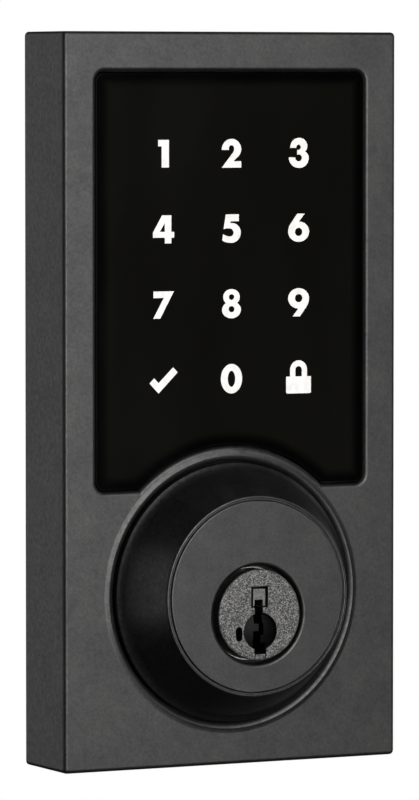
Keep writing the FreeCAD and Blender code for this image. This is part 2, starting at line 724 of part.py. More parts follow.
def keyway():
    """The slot a key goes into: an upper blade, a lower one stepped to its left, and a wide foot."""
    steps = ((-0.95, 0.67, -1.55, KEYWAY_TOP), (-0.1, 0.85, -3.55, -1.5), (-1.15, 0.3, -5.1, -2.85),
             (KEYWAY_FOOT_LEFT, KEYWAY_FOOT_RIGHT, KEYWAY_FOOT, -5.05))
    return fuse([box(left, right, PLUG_FACE - 1, 0.5, low, high) for left, right, low, high in steps])


def tool_slot():
    """Round-ended slot for the rekeying tool."""
    x, z, half, straight = -4.03, -3.25, 0.64, 0.66
    slot = box(x - half, x + half, PLUG_FACE - 1, POCKET_FRONT + 1, z - straight, z + straight)
    ends = [rod(half, PLUG_FACE - 1, POCKET_FRONT + 1, x, z + side * straight) for side in (-1, 1)]
    return fuse([slot] + ends)


def drive_opening():
    """Hollow in the plug's rear that lets the tailpiece's hub turn a quarter turn on its own."""
    quarters = [sector(DRIVE_RADIUS, DRIVE_FRONT, PLUG_REAR + 1, middle, 66.5) for middle in (45, 225)]
    return fuse(quarters + [rod(DRIVE_CENTRE, DRIVE_FRONT, PLUG_REAR + 1)])


def pin_chamber(y):
    """Round shaft for one key pin, with a slot beside it for the pin's tooth."""
    shaft = Part.makeCylinder(PIN_RADIUS + 0.08, PLUG_RADIUS - PIN_BOTTOM + 1, V(PIN_X, y, PIN_BOTTOM - 0.1))
    slot = box(POCKET_RIGHT - 0.1, PIN_X, y - 0.65, y + 0.65, TOOTH_REST - 0.4, TOOTH_REST + PIN_TRAVEL + 0.4)
    return shaft.fuse(slot)


def key_plug():
    """Turning plug with its keyway, pin chambers, tumbler pocket and rear drive."""
    body = rod(PLUG_FLANGE_RADIUS, PLUG_FACE, PLUG_FLANGE_BACK)
    body = body.makeFillet(0.3, [e for e in body.Edges if flat_at(e, PLUG_FACE)])
    body = fuse([body, rod(PLUG_RADIUS, PLUG_FLANGE_BACK - 0.5, PLUG_REAR)])
    tools = [
        keyway(),
        tool_slot(),
        drive_opening(),
        box(-SQUARE_HALF, SQUARE_HALF, PLUG_FACE - 1, PLUG_FACE + 2.5, SQUARE_LOW, SQUARE_HIGH),
        rod(INSERT_RADIUS, PLUG_FACE - 1, PLUG_FACE + INSERT_DEPTH, INSERT_X, INSERT_Z),
        box(POCKET_LEFT, POCKET_RIGHT, POCKET_FRONT, POCKET_REAR, POCKET_BOTTOM, POCKET_TOP),
        rod(1.0, POCKET_REAR - 1, CARRIER_SPRING_BACK, -4.05, -3.9),
        box(-9, POCKET_LEFT, SIDEBAR_FRONT - 0.1, SIDEBAR_REAR + 0.1, SIDEBAR_BOTTOM - 0.1, SIDEBAR_TOP + 0.1),
        Part.makeCylinder(0.65, 2.0, V(POCKET_LEFT - 0.1, -0.2, 1.5), V(1, 0, 0)),
        box(PIN_X - 1.9, PIN_X + 1.9, PIN_PLACES[0] - 2.0, PIN_PLACES[-1] + 2.0, SPRING_TOP, 9),
        pipe(9, CLIP_INNER - 0.05, CLIP_FRONT - 0.08, CLIP_BACK + 0.08),
    ]
    tools += [pin_chamber(y) for y in PIN_PLACES]
    tools += [box(x - 0.1, x + 0.1, PLUG_FACE - 1, PLUG_FACE + 1.2, KEYWAY_FOOT - 0.8, KEYWAY_FOOT + 0.1)
              for x in (KEYWAY_FOOT_LEFT + 0.1, KEYWAY_FOOT_RIGHT - 0.1)]
    tools += [rod(0.7, 2.85, PLUG_REAR + 1, x, z) for x, z in around(CAP_SCREW_CIRCLE, CAP_SCREW_ANGLES)]
    return cut(body, tools)


def keyway_inserts():
    """Pair of hardened half-round inserts with a domed face, one each side of the keyway."""
    disc = rod(INSERT_RADIUS, PLUG_FACE, PLUG_FACE + INSERT_DEPTH, INSERT_X, INSERT_Z)
    dome = Part.makeSphere(INSERT_DOME, V(INSERT_X, PLUG_FACE + INSERT_SINK + INSERT_DOME, INSERT_Z))
    return disc.common(dome).cut(keyway())


def upper_insert():
    """Small square hardened insert above the keyway."""
    half = SQUARE_HALF - SQUARE_GAP
    front = PLUG_FACE + 0.1
    block = box(-half, half, front, PLUG_FACE + 2.5, SQUARE_LOW + SQUARE_GAP / 2, SQUARE_HIGH - SQUARE_GAP)
    block = block.makeFillet(0.15, [e for e in block.Edges if flat_at(e, front)])
    return block.cut(keyway())


def sidebar():
    """Locking bar that lies in the plug's side."""
    bar = box(-9, POCKET_LEFT - 0.05, SIDEBAR_FRONT, SIDEBAR_REAR, SIDEBAR_BOTTOM, SIDEBAR_TOP)
    return bar.common(rod(PLUG_RADIUS - 0.1, SIDEBAR_FRONT - 1, SIDEBAR_REAR + 1))


def sidebar_spring():
    """Small spring behind the sidebar's rear end."""
    return coil(0.42, 0.09, 1.8, 4, V(POCKET_LEFT + 1.85, -0.2, 1.5), V(-1, 0, 0))


def chamber_cover():
    """Curved strip that closes the pin chambers and seats their springs."""
    strip = box(PIN_X - 1.85, PIN_X + 1.85, PIN_PLACES[0] - 1.95, PIN_PLACES[-1] + 1.95, SPRING_TOP, 9)
    return strip.common(rod(PLUG_RADIUS - 0.05, -23, 0))


def pin_spring(y):
    """Spring that pushes one key pin down."""
    return coil(0.95, 0.14, SPRING_TOP - PIN_TOP - 0.04, 5, V(PIN_X, y, PIN_TOP + 0.02), V(0, 0, 1))


def key_pin(y):
    """Key pin with a pointed tip and a side tooth that meshes with its rack."""
    shank = Part.makeCylinder(PIN_RADIUS, PIN_TOP - PIN_BOTTOM - 0.8, V(PIN_X, y, PIN_BOTTOM + 0.8))
    tip = Part.makeCone(0.55, PIN_RADIUS, 0.8, V(PIN_X, y, PIN_BOTTOM))
    tooth = box(-3.35, PIN_X, y - 0.45, y + 0.45, TOOTH_REST - 0.17, TOOTH_REST + 0.17)
    return fuse([shank, tip, tooth])


def tumbler_rack(y):
    """Toothed slider that follows its key pin; its left edge has the sidebar's notch."""
    plate = box(-4.9, -3.45, y - 1.1, y + 1.1, -3.4, 1.9)
    teeth = []
    for i in range(-4, 1):
        z = TOOTH_REST + TOOTH_PITCH * (i + 0.5)
        tooth = outline(y - 0.7, (-3.6, z - 0.25), (-3.0, z - 0.12), (-3.0, z + 0.12), (-3.6, z + 0.25))
        teeth.append(prism(tooth, 1.4))
    notch = box(-5.0, -4.5, y - 2, y + 2, -0.2, 0.5)
    return fuse([plate] + teeth).cut(notch)


def rekey_carrier():
    """Comb that holds the racks apart and slides them off the pins."""
    bar = box(-5.1, -3.1, CARRIER_FRONT, CARRIER_REAR, -4.9, -3.6)
    fences = []
    for i in range(len(PIN_PLACES) - 1):
        y = PIN_PLACES[i] + PIN_PITCH / 2
        fences.append(box(-5.1, -3.6, y - 0.68, y + 0.68, -4.0, 4.6))
    return fuse([bar] + fences)


def carrier_spring():
    """Return spring behind the carrier."""
    start = CARRIER_REAR + 0.03
    return coil(0.72, 0.12, CARRIER_SPRING_BACK - start - 0.03, 6, V(-4.05, start, -3.9), V(0, 1, 0))


def plug_retaining_clip():
    """Snap ring in the plug's groove behind the cylinder."""
    ring = pipe(CLIP_OUTER, CLIP_INNER, CLIP_FRONT, CLIP_BACK)
    return ring.cut(sector(CLIP_OUTER + 1, CLIP_FRONT - 1, CLIP_BACK + 1, 270, 24))


def plug_cap():
    """Cap that keeps the tailpiece's hub in the plug."""
    cap = pipe(7.2, 3.3, PLUG_REAR, PLUG_REAR + 1.2)
    cap = cap.makeChamfer(0.3, [e for e in cap.Edges if flat_at(e, PLUG_REAR + 1.2)])
    return cut(cap, [rod(0.75, PLUG_REAR - 1, PLUG_REAR + 2, x, z)
                     for x, z in around(CAP_SCREW_CIRCLE, CAP_SCREW_ANGLES)])


def cap_screws():
    places = around(CAP_SCREW_CIRCLE, CAP_SCREW_ANGLES)
    return group([screw(x, z, 2.9, PLUG_REAR + 1.2, 0.68, 1.1, 0.7) for x, z in places])


def tailpiece():
    """Flat bar behind the plug that turns the bolt's drive."""
    hub = [sector(TAIL_HUB_RADIUS, TAIL_HUB_FRONT, TAIL_HUB_BACK, middle, 20) for middle in (90, 270)]
    hub.append(rod(DRIVE_CENTRE - 0.2, TAIL_HUB_FRONT, TAIL_HUB_BACK))
    thick = TAIL_HALF_THICKNESS
    wide = TAIL_HALF_WIDTH
    blade = box(-thick, thick, TAIL_HUB_FRONT + 0.5, TAIL_END, -wide, wide)
    tips = [e for e in blade.Edges if flat_at(e, TAIL_END) and e.BoundBox.XLength > 1]
    blade = blade.makeChamfer(1.2, tips)
    return fuse(hub + [blade])


# ---- parts behind the housing -------------------------------------------------------

def cylinder_bracket():
    """Steel plate that ties the cylinder and the posts to the housing."""
    plate = box(-29.5, 29.5, BRACKET_FRONT, BRACKET_BACK, -23.0, 19.5)
    plate = plate.makeFillet(2.0, [e for e in plate.Edges if e.BoundBox.YLength > 1])
    standoffs = [rod(2.3, BRACKET_BACK - 1, COVER_FRONT, x, z) for x, z in LOWER_COVER_SCREWS]
    plate = fuse([plate] + standoffs)
    tools = [rod(CYLINDER_RADIUS + 0.3, -10, 0), box(-5, 5, -10, 0, 13.9, 25)]
    tools += [rod(1.5, -10, 0, x, z) for x, z in BRACKET_SCREWS]
    tools += [rod(1.35, -10, 0, x, z) for x, z in around(EAR_CIRCLE, EAR_ANGLES)]
    tools += [rod(1.35, -10, 0, x, z) for x, z in COLLAR_SCREWS]
    tools += [rod(1.0, -10, 0, x, z) for x, z in LOWER_COVER_SCREWS]
    tools += [rod(2.6, -10, 0, x, 0) for x in (-POST_X, POST_X)]
    return cut(plate, tools)


def bracket_screws():
    return group([screw(x, z, -11.0, BRACKET_BACK, 1.25, 2.3, 1.2) for x, z in BRACKET_SCREWS])


def mounting_posts():
    """Two threaded posts that the through-door screws pull on."""
    posts = []
    for x in (-POST_X, POST_X):
        post = fuse([rod(2.6, BRACKET_FRONT, BRACKET_BACK, x, 0), rod(POST_RADIUS, BRACKET_BACK, POST_REAR, x, 0)])
        post = post.makeChamfer(0.5, [e for e in post.Edges if flat_at(e, POST_REAR)])
        posts.append(post.cut(rod(POST_THREAD, COVER_FRONT, POST_REAR + 1, x, 0)))
    return group(posts)


def back_plate():
    """Thin cover over the rear of the housing, stiffened by a lattice of low ribs."""
    wide = HOUSING_HALF_WIDTH - SIDE_WALL - 0.2
    foot = HOUSING_BOTTOM + SIDE_WALL + 0.2
    plate = box(-wide, wide, COVER_FRONT, COVER_BACK, foot, HOUSING_TOP - SIDE_WALL - 0.2)
    reach = COVER_RIB_COLUMNS[-1] + COVER_RIB / 2
    ribs = [box(x - COVER_RIB / 2, x + COVER_RIB / 2, COVER_BACK - 0.5, COVER_RIB_BACK,
                COVER_RIB_ROWS[0], COVER_RIB_ROWS[-1]) for x in COVER_RIB_COLUMNS]
    ribs += [box(-reach, reach, COVER_BACK - 0.5, COVER_RIB_BACK, z - COVER_RIB / 2, z + COVER_RIB / 2)
             for z in COVER_RIB_ROWS]
    plate = fuse([plate] + ribs)
    tools = [rod(CYLINDER_REAR_RADIUS + 0.3, -10, 10), rod(4.0, -10, 10, 0, GROMMET_Z)]
    tools += [rod(POST_RADIUS + 0.3, -10, 10, x, 0) for x in (-POST_X, POST_X)]
    tools += [cone(1.0, 1.9, COVER_FRONT, COVER_BACK, x, z) for x, z in LOWER_COVER_SCREWS + UPPER_COVER_SCREWS]
    tools += [rod(0.9, -10, 10, x, z) for x, z in around(ADAPTER_SCREW_CIRCLE, ADAPTER_SCREW_ANGLES)]
    return cut(plate, tools)


def back_plate_screws():
    places = LOWER_COVER_SCREWS + UPPER_COVER_SCREWS
    tip = COVER_FRONT - 3.0
    return group([flush_screw(x, z, tip, COVER_FRONT, COVER_BACK, 0.8, 1.8) for x, z in places])


def perimeter_gasket():
    """Rubber seal that meets the door all round."""
    outer, inner = (box(inset - HOUSING_HALF_WIDTH, HOUSING_HALF_WIDTH - inset, COVER_BACK, 0,
                        HOUSING_BOTTOM + inset, HOUSING_TOP - inset) for inset in (RIM_LIP + 0.1, GASKET_INSET))
    return outer.cut(inner)


def cable_grommet():
    """Rubber bush that lines the harness hole in the back plate."""
    body = fuse([
        rod(4.0, COVER_FRONT - 0.8, COVER_BACK + 0.8, 0, GROMMET_Z),
        rod(4.6, COVER_FRONT - 0.8, COVER_FRONT, 0, GROMMET_Z),
        rod(4.6, COVER_BACK, COVER_BACK + 0.8, 0, GROMMET_Z),
    ])
    return body.cut(rod(GROMMET_BORE, -10, 10, 0, GROMMET_Z))


def bore_adapter_ring():
    """Plastic ring that centres the lock in the door's bore, flat at its foot."""
    base = pipe(SPIGOT_BORE - 0.5, SPIGOT_FLANGE_BORE, COVER_BACK, SPIGOT_FRONT)
    web = pipe(SPIGOT_BORE + 0.5, SPIGOT_FLANGE_BORE, SPIGOT_FRONT, 1.0)
    spigot = pipe(SPIGOT_RADIUS, SPIGOT_BORE, SPIGOT_FRONT, SPIGOT_REAR)
    lead = [e for e in spigot.Edges if flat_at(e, SPIGOT_REAR) and e.BoundBox.XMax > SPIGOT_RADIUS - 0.01]
    spigot = spigot.makeChamfer(0.4, lead)
    ring = fuse([base, web, spigot])
    tools = [box(-40, 40, -5, 10, -40, SPIGOT_FLAT)]
    tools += [rod(POST_RADIUS + 0.5, -5, 10, x, 0) for x in (-POST_X, POST_X)]
    tools += [rod(1.0, -5, 10, x, z) for x, z in around(ADAPTER_SCREW_CIRCLE, ADAPTER_SCREW_ANGLES)]
    return cut(ring, tools)


def adapter_screws():
    places = around(ADAPTER_SCREW_CIRCLE, ADAPTER_SCREW_ANGLES)
    return group([screw(x, z, COVER_FRONT, 1.0, 0.85, 1.6, 0.9) for x, z in places])


# ---- assembly -----------------------------------------------------------------------

def build():
    symbols = keypad_symbols()
    nodes = {
        "front_housing": front_housing(),
        "touch_lens": touch_lens(symbols),
        "keypad_symbols": group(symbols),
        "lens_adhesive": lens_adhesive(),
        "keypad_frame": keypad_frame(),
        "frame_screws": frame_screws(),
        "light_guide": light_guide(),
        "touch_board": touch_board(),
        "board_screws": board_screws(),
        "backlight_leds": backlight_leds(),
        "control_chip": control_chip(),
        "board_connector": board_connector(),
        "buzzer": buzzer(),
        "board_components": board_components(),
        "cylinder_collar": cylinder_collar(),
        "collar_o_ring": collar_o_ring(),
        "collar_screws": collar_screws(),
        "drill_plate": drill_plate(),
        "cylinder_housing": cylinder_housing(),
        "drill_pins": drill_pins(),
        "cylinder_screws": cylinder_screws(),
        "cylinder_bracket": cylinder_bracket(),
        "bracket_screws": bracket_screws(),
        "mounting_posts": mounting_posts(),
        "back_plate": back_plate(),
        "back_plate_screws": back_plate_screws(),
        "perimeter_gasket": perimeter_gasket(),
        "cable_grommet": cable_grommet(),
        "bore_adapter_ring": bore_adapter_ring(),
        "adapter_screws": adapter_screws(),
        "key_plug": key_plug(),
        "keyway_inserts": keyway_inserts(),
        "upper_insert": upper_insert(),
        "sidebar": sidebar(),
        "sidebar_spring": sidebar_spring(),
        "chamber_cover": chamber_cover(),
        "carrier_spring": carrier_spring(),
        "plug_retaining_clip": plug_retaining_clip(),
        "plug_cap": plug_cap(),
        "cap_screws": cap_screws(),
        "rekey_carrier": rekey_carrier(),
        "tailpiece": tailpiece(),
    }
    for number, y in enumerate(PIN_PLACES, 1):
        nodes[f"key_pin_{number}"] = key_pin(y)
        nodes[f"tumbler_rack_{number}"] = tumbler_rack(y)
        nodes[f"pin_spring_{number}"] = pin_spring(y)
    return nodes


os.makedirs("parts", exist_ok=True)
for name, shape in build().items():
    shape.exportStep(f"parts/{name}.step")
    verdict = "valid" if shape.isValid() else "INVALID"
    print(name, len(shape.Solids), "solids", round(shape.Volume, 2), "mm3", verdict)
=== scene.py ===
import json
import math

import bmesh
import bpy
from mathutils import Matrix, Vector

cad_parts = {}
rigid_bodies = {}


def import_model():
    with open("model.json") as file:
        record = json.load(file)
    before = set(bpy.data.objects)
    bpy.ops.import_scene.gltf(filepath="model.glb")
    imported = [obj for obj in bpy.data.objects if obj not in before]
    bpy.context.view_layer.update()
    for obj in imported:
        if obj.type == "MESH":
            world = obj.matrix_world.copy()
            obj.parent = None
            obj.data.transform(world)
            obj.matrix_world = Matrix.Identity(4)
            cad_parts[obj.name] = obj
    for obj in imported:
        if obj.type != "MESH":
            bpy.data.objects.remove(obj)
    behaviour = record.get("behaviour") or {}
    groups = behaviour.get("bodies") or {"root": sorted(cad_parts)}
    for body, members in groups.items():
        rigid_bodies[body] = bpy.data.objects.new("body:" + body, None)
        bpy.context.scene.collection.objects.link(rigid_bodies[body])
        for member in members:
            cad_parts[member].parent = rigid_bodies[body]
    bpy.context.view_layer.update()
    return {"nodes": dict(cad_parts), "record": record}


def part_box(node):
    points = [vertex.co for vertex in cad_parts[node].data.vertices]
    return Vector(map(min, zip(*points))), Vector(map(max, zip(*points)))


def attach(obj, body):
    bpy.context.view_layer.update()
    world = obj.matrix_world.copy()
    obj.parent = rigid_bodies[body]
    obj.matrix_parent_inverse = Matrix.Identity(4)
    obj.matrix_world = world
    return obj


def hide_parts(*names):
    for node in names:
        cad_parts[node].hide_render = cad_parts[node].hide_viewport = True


# Keypad smart lock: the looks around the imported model. Metres, +Z up, the keypad faces -Y.

for leftover in list(bpy.data.objects):
    bpy.data.objects.remove(leftover)
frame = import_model()
MM = 0.001

# ---- places that the frame gives ----------------------------------------------------

LENS_LOW, LENS_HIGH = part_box("touch_lens")
COLLAR_LOW, COLLAR_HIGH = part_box("cylinder_collar")
COLLAR_Z = (COLLAR_LOW.z + COLLAR_HIGH.z) / 2
GASKET_LOW, GASKET_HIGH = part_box("perimeter_gasket")
GROMMET_LOW, GROMMET_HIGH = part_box("cable_grommet")
PLUG_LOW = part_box("key_plug")[0]
PIN_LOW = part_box("key_pin_1")[0]

# ---- sizes of the pieces made here --------------------------------------------------

# Touch lens. Its rim carries a painted dark reflection, full black in to the FULL inset and faded out by the
# END inset.
LENS_CORNER = 1.6 * MM
LENS_SMALLEST_CORNER = 0.25 * MM
LENS_ARC = 26.12 * MM
LENS_BEVEL = 0.35 * MM
LENS_EASE = 0.06 * MM
LENS_EDGE_DROP = 0.40 * MM
LENS_PAINTED_REFLECTION = "painted_reflection"
LENS_PAINTED_REFLECTION_FULL = 1.1 * MM
LENS_PAINTED_REFLECTION_END = 2.6 * MM
LENS_PAINTED_REFLECTION_RINGS = 8

# Perimeter gasket
GASKET_WIDTH = 2.6 * MM
GASKET_BULGE = 0.45 * MM
GASKET_FOOT = 0.3 * MM
GASKET_CORNER = 0.8 * MM
GASKET_SMALLEST_CORNER = 0.15 * MM

# Cable grommet
GROMMET_BORE = 3.1 * MM
GROMMET_WAIST = 4.0 * MM
GROMMET_LIP = 0.8 * MM

# ---- looks shared by several materials ----------------------------------------------

# How metallic the paint is, which is how far its tone shows in its gloss
PAINT_METALLIC = 0.9

# Grease and graphite with painted shade in the key plug's slots and on its sides, and how far back it covers
# the first pin
GREASE_AND_SHADE = (0.004, 0.004, 0.0035)
PIN_GRIME_AND_SHADE = 2.6 * MM

# ---- camera and stage ---------------------------------------------------------------

CAMERA_AZIMUTH = -26.943
CAMERA_ELEVATION = 3.215
CAMERA_DISTANCE = 1.0216
CAMERA_LENS = 255.5
CAMERA_SENSOR = 36.0
CAMERA_TARGET = Vector((3.54, -0.3, 36.45)) * MM
DIM_GREY = (0.018, 0.018, 0.018)
WHITE = (1.0, 1.0, 1.0)
FLOOR_HEIGHT = -0.16
FLOOR_RADIUS = 0.95
FLOOR_GLOW = 0.72


# ---- shader tools -------------------------------------------------------------------

def new_material(name):
    """An empty node material and its main shader."""
    material = bpy.data.materials.new(name)
    material.use_nodes = True
    return material.node_tree, material.node_tree.nodes["Principled BSDF"], material


def node(tree, kind, inputs=None, **settings):
    """A shader node with settings, and with inputs that are numbers or other nodes' outputs."""
    made = tree.nodes.new("ShaderNode" + kind)
    for key, value in settings.items():
        setattr(made, key, value)
    for key, value in (inputs or {}).items():
        if isinstance(value, bpy.types.NodeSocket):
            tree.links.new(value, made.inputs[key])
        else:
            made.inputs[key].default_value = value
    return made


def place(tree, stretch=(1, 1, 1)):
    """The point being shaded, in the piece's own frame, in metres."""
    where = node(tree, "TexCoord").outputs["Object"]
    if stretch == (1, 1, 1):
        return where
    return node(tree, "Mapping", {"Vector": where, "Scale": stretch}).outputs["Vector"]


def noise(tree, size, detail=2.0, stretch=(1, 1, 1), roughness=0.5):
    """Soft noise whose spots are about size across."""
    inputs = {"Vector": place(tree, stretch), "Scale": 1 / size, "Detail": detail, "Roughness": roughness}
    return node(tree, "TexNoise", inputs).outputs["Fac"]


def cells(tree, size, feature="F1", stretch=(1, 1, 1)):
    """Random cells about size across, as distance and random colour."""
    inputs = {"Vector": place(tree, stretch), "Scale": 1 / size}
    return node(tree, "TexVoronoi", inputs, feature=feature)


def spread(tree, value, low, high, start=0.3, end=0.7):
    """Maps value from start..end to low..high, held at the ends."""
    inputs = {"Value": value, "From Min": start, "From Max": end, "To Min": low, "To Max": high}
    return node(tree, "MapRange", inputs).outputs["Result"]


def blend_colours(tree, amount, first, second):
    """first where amount is 0, second where it is 1."""
    mix = node(tree, "Mix", data_type="RGBA")
    for socket, value in ((mix.inputs[0], amount), (mix.inputs[6], first), (mix.inputs[7], second)):
        if isinstance(value, bpy.types.NodeSocket):
            tree.links.new(value, socket)
        else:
            socket.default_value = value if isinstance(value, float) else (*value, 1.0)
    return mix.outputs[2]


def times(tree, colour, layer):
    """The two colours multiplied."""
    mix = node(tree, "Mix", {0: 1.0, 6: colour, 7: layer}, data_type="RGBA", blend_type="MULTIPLY")
    return mix.outputs[2]


def bump(tree, height, depth, under=None):
    """A normal pushed by height, where depth is the relief in metres."""
    inputs = {"Height": height, "Distance": depth, "Strength": 1.0}
    if under is not None:
        inputs["Normal"] = under
    return node(tree, "Bump", inputs).outputs["Normal"]


def wire(tree, shader, **inputs):
    """Links or sets the shader's inputs. A name's underscores stand for spaces."""
    for key, value in inputs.items():
        socket = shader.inputs[key.replace("_", " ")]
        if isinstance(value, bpy.types.NodeSocket):
            tree.links.new(value, socket)
        else:
            socket.default_value = value if isinstance(value, (int, float)) else (*value, 1.0)


# ---- materials ----------------------------------------------------------------------

def textured_paint(name, dark, light, peel, roughness):
    """Dark metallic satin paint on a casting: cloudy tone, faint orange peel and a fine pebble."""
    tree, shader, material = new_material(name)
    clouds = noise(tree, 7 * MM, 3)
    speckle = noise(tree, 0.45 * MM, 2)
    patches = noise(tree, 2.0 * MM, 3)
    colour = blend_colours(tree, spread(tree, clouds, 0.0, 1.0, 0.35, 0.65), dark, light)
    tint = blend_colours(tree, spread(tree, patches, 0.0, 1.0), (0.91, 0.92, 0.94), (1.10, 1.08, 1.05))
    grain = blend_colours(tree, spread(tree, speckle, 0.0, 1.0), (0.85, 0.85, 0.85), (1.15, 1.15, 1.15))
    colour = times(tree, times(tree, colour, tint), grain)
    waves = bump(tree, noise(tree, 1.3 * MM, 2), peel)
    pebble = bump(tree, speckle, 0.25 * peel, waves)
    wire(tree, shader, Base_Color=colour, Normal=pebble, Metallic=PAINT_METALLIC,
         Roughness=spread(tree, noise(tree, 0.8 * MM, 3), roughness - 0.05, roughness + 0.07))
    return material


def lens_gloss():
    """Smoked glossy lens with a painted dark reflection along its rim, and the faintest dust and wipe marks.
    """
    tree, shader, material = new_material("lens_gloss")
    wipe = noise(tree, 16 * MM, 3, (1, 1, 0.35))
    dust = cells(tree, 1.7 * MM).outputs["Distance"]
    painted_reflection = node(tree, "Attribute", attribute_name=LENS_PAINTED_REFLECTION).outputs["Fac"]
    wiped = spread(tree, wipe, 0.0, 1.0)
    smoke = blend_colours(tree, wiped, (0.0030, 0.0029, 0.0021), (0.0037, 0.0036, 0.0028))
    smoke = blend_colours(tree, spread(tree, dust, 1.0, 0.0, 0.02, 0.05), smoke, (0.010, 0.010, 0.010))
    # The rim band is a painted dark reflection: near-black base colour where the rim attribute is 1.
    colour = blend_colours(tree, painted_reflection, smoke, (0.0002, 0.0002, 0.0002))
    wire(tree, shader, Base_Color=colour, Roughness=spread(tree, wipe, 0.05, 0.09), Specular_IOR_Level=0.4)
    return material


def legend_white():
    """Backlit white, a little uneven as the lamps behind it are."""
    tree, shader, material = new_material("legend_white")
    glow = spread(tree, noise(tree, 1.6 * MM, 3), 0.0, 1.0)
    colour = blend_colours(tree, glow, (0.42, 0.41, 0.39), (0.52, 0.515, 0.505))
    light = blend_colours(tree, glow, (0.80, 0.76, 0.70), (0.95, 0.94, 0.93))
    wire(tree, shader, Base_Color=colour, Roughness=0.45, Emission_Color=light, Emission_Strength=0.41)
    return material


def below_plug_face(tree):
    """1 on the plug's sides and in its slots, 0 on its front face."""
    depth = node(tree, "SeparateXYZ", {"Vector": place(tree)}).outputs["Y"]
    return spread(tree, depth, 0.0, 1.0, PLUG_LOW.y + 0.20 * MM, PLUG_LOW.y + 0.45 * MM)


def plug_casting():
    """Coarse grey casting with sparkling grains, dark below its face with grease and painted shade."""
    tree, shader, material = new_material("plug_casting")
    grain = cells(tree, 0.17 * MM)
    lumps = noise(tree, 0.28 * MM, 3)
    shade = node(tree, "SeparateColor", {"Color": grain.outputs["Color"]}).outputs["Red"]
    sparkle = spread(tree, shade, 0.0, 1.0, 0.35, 0.95)
    colour = blend_colours(tree, sparkle, (0.020, 0.0197, 0.019), (0.185, 0.182, 0.176))
    # Below the face the colour is grease plus painted shade, on the sides and in the slots.
    colour = blend_colours(tree, below_plug_face(tree), colour, GREASE_AND_SHADE)
    relief = bump(tree, lumps, 0.035 * MM)
    relief = bump(tree, grain.outputs["Distance"], 0.03 * MM, relief)
    wire(tree, shader, Base_Color=colour, Normal=relief, Metallic=0.35,
         Roughness=spread(tree, sparkle, 0.55, 0.3, 0, 1))
    return material


def blackened_steel():
    """Matt black oxide with a trace of oil."""
    tree, shader, material = new_material("blackened_steel")
    film = noise(tree, 1.1 * MM, 3)
    colour = blend_colours(tree, spread(tree, film, 0.0, 1.0), (0.004, 0.004, 0.004), (0.011, 0.011, 0.012))
    wire(tree, shader, Base_Color=colour, Roughness=spread(tree, film, 0.6, 0.8), Specular_IOR_Level=0.25,
         Normal=bump(tree, film, 0.004 * MM))
    return material


def tumbler_brass():
    """Brass, black with graphite, grease and painted shade as far back as the front of the keyway shows it.
    """
    tree, shader, material = new_material("tumbler_brass")
    brushed = noise(tree, 0.6 * MM, 3, (1, 1, 0.2))
    brass = blend_colours(tree, spread(tree, brushed, 0.0, 1.0), (0.62, 0.44, 0.18), (0.80, 0.62, 0.30))
    depth = node(tree, "SeparateXYZ", {"Vector": place(tree)}).outputs["Y"]
    behind = spread(tree, depth, 0.0, 1.0, PIN_LOW.y + PIN_GRIME_AND_SHADE, PIN_LOW.y + 2 * PIN_GRIME_AND_SHADE)
    # Where the keyway shows the pin, the colour is grease plus painted shade.
    colour = blend_colours(tree, behind, GREASE_AND_SHADE, brass)
    wire(tree, shader, Base_Color=colour, Metallic=spread(tree, behind, 0.0, 1.0, 0, 1),
         Roughness=spread(tree, behind, 0.75, 0.28, 0, 1), Normal=bump(tree, brushed, 0.006 * MM))
    return material


def polished_dark():
    """Dark satin steel with fine turning marks."""
    tree, shader, material = new_material("polished_dark")
    lines = noise(tree, 0.5 * MM, 3, (0.2, 1, 3))
    colour = blend_colours(tree, spread(tree, lines, 0.0, 1.0), (0.002, 0.002, 0.002), (0.006, 0.006, 0.006))
    wire(tree, shader, Base_Color=colour, Metallic=0.8, Roughness=spread(tree, lines, 0.46, 0.58),
         Specular_IOR_Level=0.25, Normal=bump(tree, lines, 0.004 * MM))
    return material


def bare_metal(name, dark, light, roughness, grain=(1, 1, 1), size=0.6, depth=0.006):
    """Bare or plated metal: brushed or cast grain, cloudy tarnish and small pits."""
    tree, shader, material = new_material(name)
    brushed = noise(tree, size * MM, 3, grain)
    cloud = noise(tree, 5 * MM, 3)
    pits = cells(tree, 1.3 * MM).outputs["Distance"]
    colour = blend_colours(tree, spread(tree, brushed, 0.0, 1.0), dark, light)
    stain = blend_colours(tree, spread(tree, cloud, 0.0, 1.0), (0.86, 0.86, 0.88), (1.08, 1.06, 1.02))
    colour = times(tree, colour, stain)
    relief = bump(tree, brushed, depth * MM)
    relief = bump(tree, spread(tree, pits, 0.0, 1.0, 0.03, 0.09), 0.01 * MM, relief)
    wire(tree, shader, Base_Color=colour, Metallic=1.0, Normal=relief,
         Roughness=spread(tree, cloud, roughness - 0.06, roughness + 0.08))
    return material


def moulded(name, dark, light, roughness=0.55, grain=0.4, depth=0.012):
    """Moulded plastic with a spark-eroded texture and faint flow marks."""
    tree, shader, material = new_material(name)
    pebble = noise(tree, grain * MM, 3)
    flow = noise(tree, 11 * MM, 2, (1, 1, 0.3))
    colour = blend_colours(tree, spread(tree, flow, 0.0, 1.0), dark, light)
    wire(tree, shader, Base_Color=colour, Normal=bump(tree, pebble, depth * MM),
         Roughness=spread(tree, pebble, roughness - 0.08, roughness + 0.08))
    return material


def rubber():
    """Matt black rubber with a dusty bloom."""
    tree, shader, material = new_material("rubber")
    bloom = noise(tree, 4 * MM, 4)
    skin = noise(tree, 0.3 * MM, 3)
    colour = blend_colours(tree, spread(tree, bloom, 0.0, 1.0), (0.012, 0.012, 0.012), (0.03, 0.029, 0.028))
    wire(tree, shader, Base_Color=colour, Roughness=spread(tree, bloom, 0.62, 0.85), Specular_IOR_Level=0.35,
         Normal=bump(tree, skin, 0.02 * MM))
    return material


